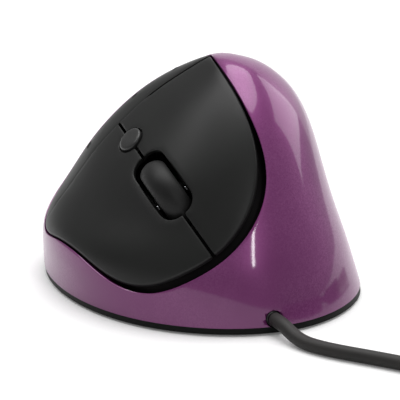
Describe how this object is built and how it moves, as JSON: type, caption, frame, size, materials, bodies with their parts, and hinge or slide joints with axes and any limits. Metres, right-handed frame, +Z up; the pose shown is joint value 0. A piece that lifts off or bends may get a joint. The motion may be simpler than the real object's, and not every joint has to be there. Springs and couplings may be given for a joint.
{
  "type": "vertical computer mouse",
  "caption": "Tall right-handed vertical mouse: domed shell, tilted black finger face with a button on each side of a scroll wheel, flat base, wired plug.",
  "frame": {"origin": "centre of the mouse's own box, on the surface that its feet stand on", "axes": "+Y from the cord's side to the palm's side, +Z up, +X to the thumb's side, away from the finger face"},
  "size_m": [0.1217, 0.1887, 0.0634],
  "materials": {
    "purple_shell": "pearl gloss",
    "black_panel": "satin",
    "black_frame": "satin",
    "black_base": "satin",
    "foot_film": "smooth",
    "tyre_rubber": "matt",
    "hub_plastic": "satin",
    "steel": "bright",
    "green_board": "satin",
    "switch_plastic": "satin",
    "white_plunger": "satin",
    "dark_optic": "gloss",
    "clear_lens": "clear",
    "red_lamp": "gloss",
    "chip_black": "matt",
    "can_aluminium": "satin",
    "white_nylon": "satin",
    "ribbon_film": "smooth",
    "wire_jacket": "matt",
    "cord_jacket": "matt",
    "plug_moulding": "satin",
    "gold_contact": "bright"
  },
  "bodies": {
    "housing": {"main_shell": "purple_shell", "base_plate": "black_base", "palm_panel": "black_panel", "button_frame": "black_frame", "cradle_pin": "steel", "switch_board": "green_board", "left_switch_case": "switch_plastic", "right_switch_case": "switch_plastic", "wheel_switch_case": "switch_plastic", "speed_switch_case": "switch_plastic", "scroll_lamp": "dark_optic", "scroll_detector": "dark_optic", "ribbon_cable": "ribbon_film", "ribbon_sockets": "white_nylon", "main_board": "green_board", "sensor_chip": "chip_black", "sensor_lens": "clear_lens", "sensor_lamp": "red_lamp", "lamp_clip": "switch_plastic", "controller_chip": "chip_black", "capacitor": "can_aluminium", "cable_socket": "white_nylon", "strain_relief": "cord_jacket", "cable_tail": "cord_jacket", "cable_wires": "wire_jacket", "glide_feet": "foot_film", "base_screws": "steel", "board_screws": "steel", "frame_screws": "steel", "cord": "cord_jacket", "cord_coil": "cord_jacket", "cord_tie": "plug_moulding", "cord_end": "cord_jacket", "plug_grip": "plug_moulding", "plug_shell": "steel", "plug_tongue": "white_nylon", "plug_contacts": "gold_contact"},
    "left_button": {"left_click_button": "black_panel"},
    "right_button": {"right_click_button": "black_panel"},
    "speed_key": {"speed_button": "black_panel"},
    "cradle": {"wheel_cradle": "hub_plastic"},
    "wheel": {"wheel_tyre": "tyre_rubber", "wheel_hub": "hub_plastic", "wheel_axle": "steel"},
    "left_plunger": {"left_switch_plunger": "white_plunger"},
    "right_plunger": {"right_switch_plunger": "white_plunger"},
    "wheel_plunger": {"wheel_switch_plunger": "white_plunger"},
    "speed_plunger": {"speed_switch_plunger": "white_plunger"}
  },
  "joints": [
    {"name": "left_click", "type": "hinge", "parent": "housing", "child": "left_button", "pos_m": [-0.01319, 0.01114, 0.04785], "axis": [0.6554, -0.312, 0.6879], "range_deg": [0, 0.7], "stiffness_Nm_per_rad": 1.76, "springref_deg": -0.23},
    {"name": "right_click", "type": "hinge", "parent": "housing", "child": "right_button", "pos_m": [-0.02144, 0.01551, 0.03823], "axis": [0.5706, -0.3393, 0.7479], "range_deg": [0, 0.7], "stiffness_Nm_per_rad": 1.76, "springref_deg": -0.23},
    {"name": "speed_press", "type": "slide", "parent": "housing", "child": "speed_key", "axis": [0.6157, 0.3255, -0.7176], "range_m": [0, 0.0003], "stiffness_N_per_m": 3000, "springref_m": -0.0002},
    {"name": "wheel_press", "type": "hinge", "parent": "housing", "child": "cradle", "pos_m": [-0.01587, -0.00158, 0.03426], "axis": [0.788, -0.2543, 0.5607], "range_deg": [0, 0.8], "stiffness_Nm_per_rad": 1.7, "springref_deg": -0.57},
    {"name": "wheel_spin", "type": "hinge", "parent": "cradle", "child": "wheel", "pos_m": [-0.01741, -0.0165, 0.02965], "axis": [0.788, -0.2543, 0.5607], "continuous": true},
    {"name": "left_plunge", "type": "slide", "parent": "housing", "child": "left_plunger", "axis": [0.6157, 0.3255, -0.7176], "range_m": [0, 0.0006]},
    {"name": "right_plunge", "type": "slide", "parent": "housing", "child": "right_plunger", "axis": [0.6157, 0.3255, -0.7176], "range_m": [0, 0.0006]},
    {"name": "wheel_plunge", "type": "slide", "parent": "housing", "child": "wheel_plunger", "axis": [0.6157, 0.3255, -0.7176], "range_m": [0, 0.0006]},
    {"name": "speed_plunge", "type": "slide", "parent": "housing", "child": "speed_plunger", "axis": [0.6157, 0.3255, -0.7176], "range_m": [0, 0.0004]}
  ],
  "couplings": [
    {"joint": "left_plunge", "follows": "left_click", "m_per_rad": 0.041},
    {"joint": "right_plunge", "follows": "right_click", "m_per_rad": 0.041},
    {"joint": "wheel_plunge", "follows": "wheel_press", "m_per_rad": 0.0296},
    {"joint": "speed_plunge", "follows": "speed_press", "ratio": 1}
  ]
}
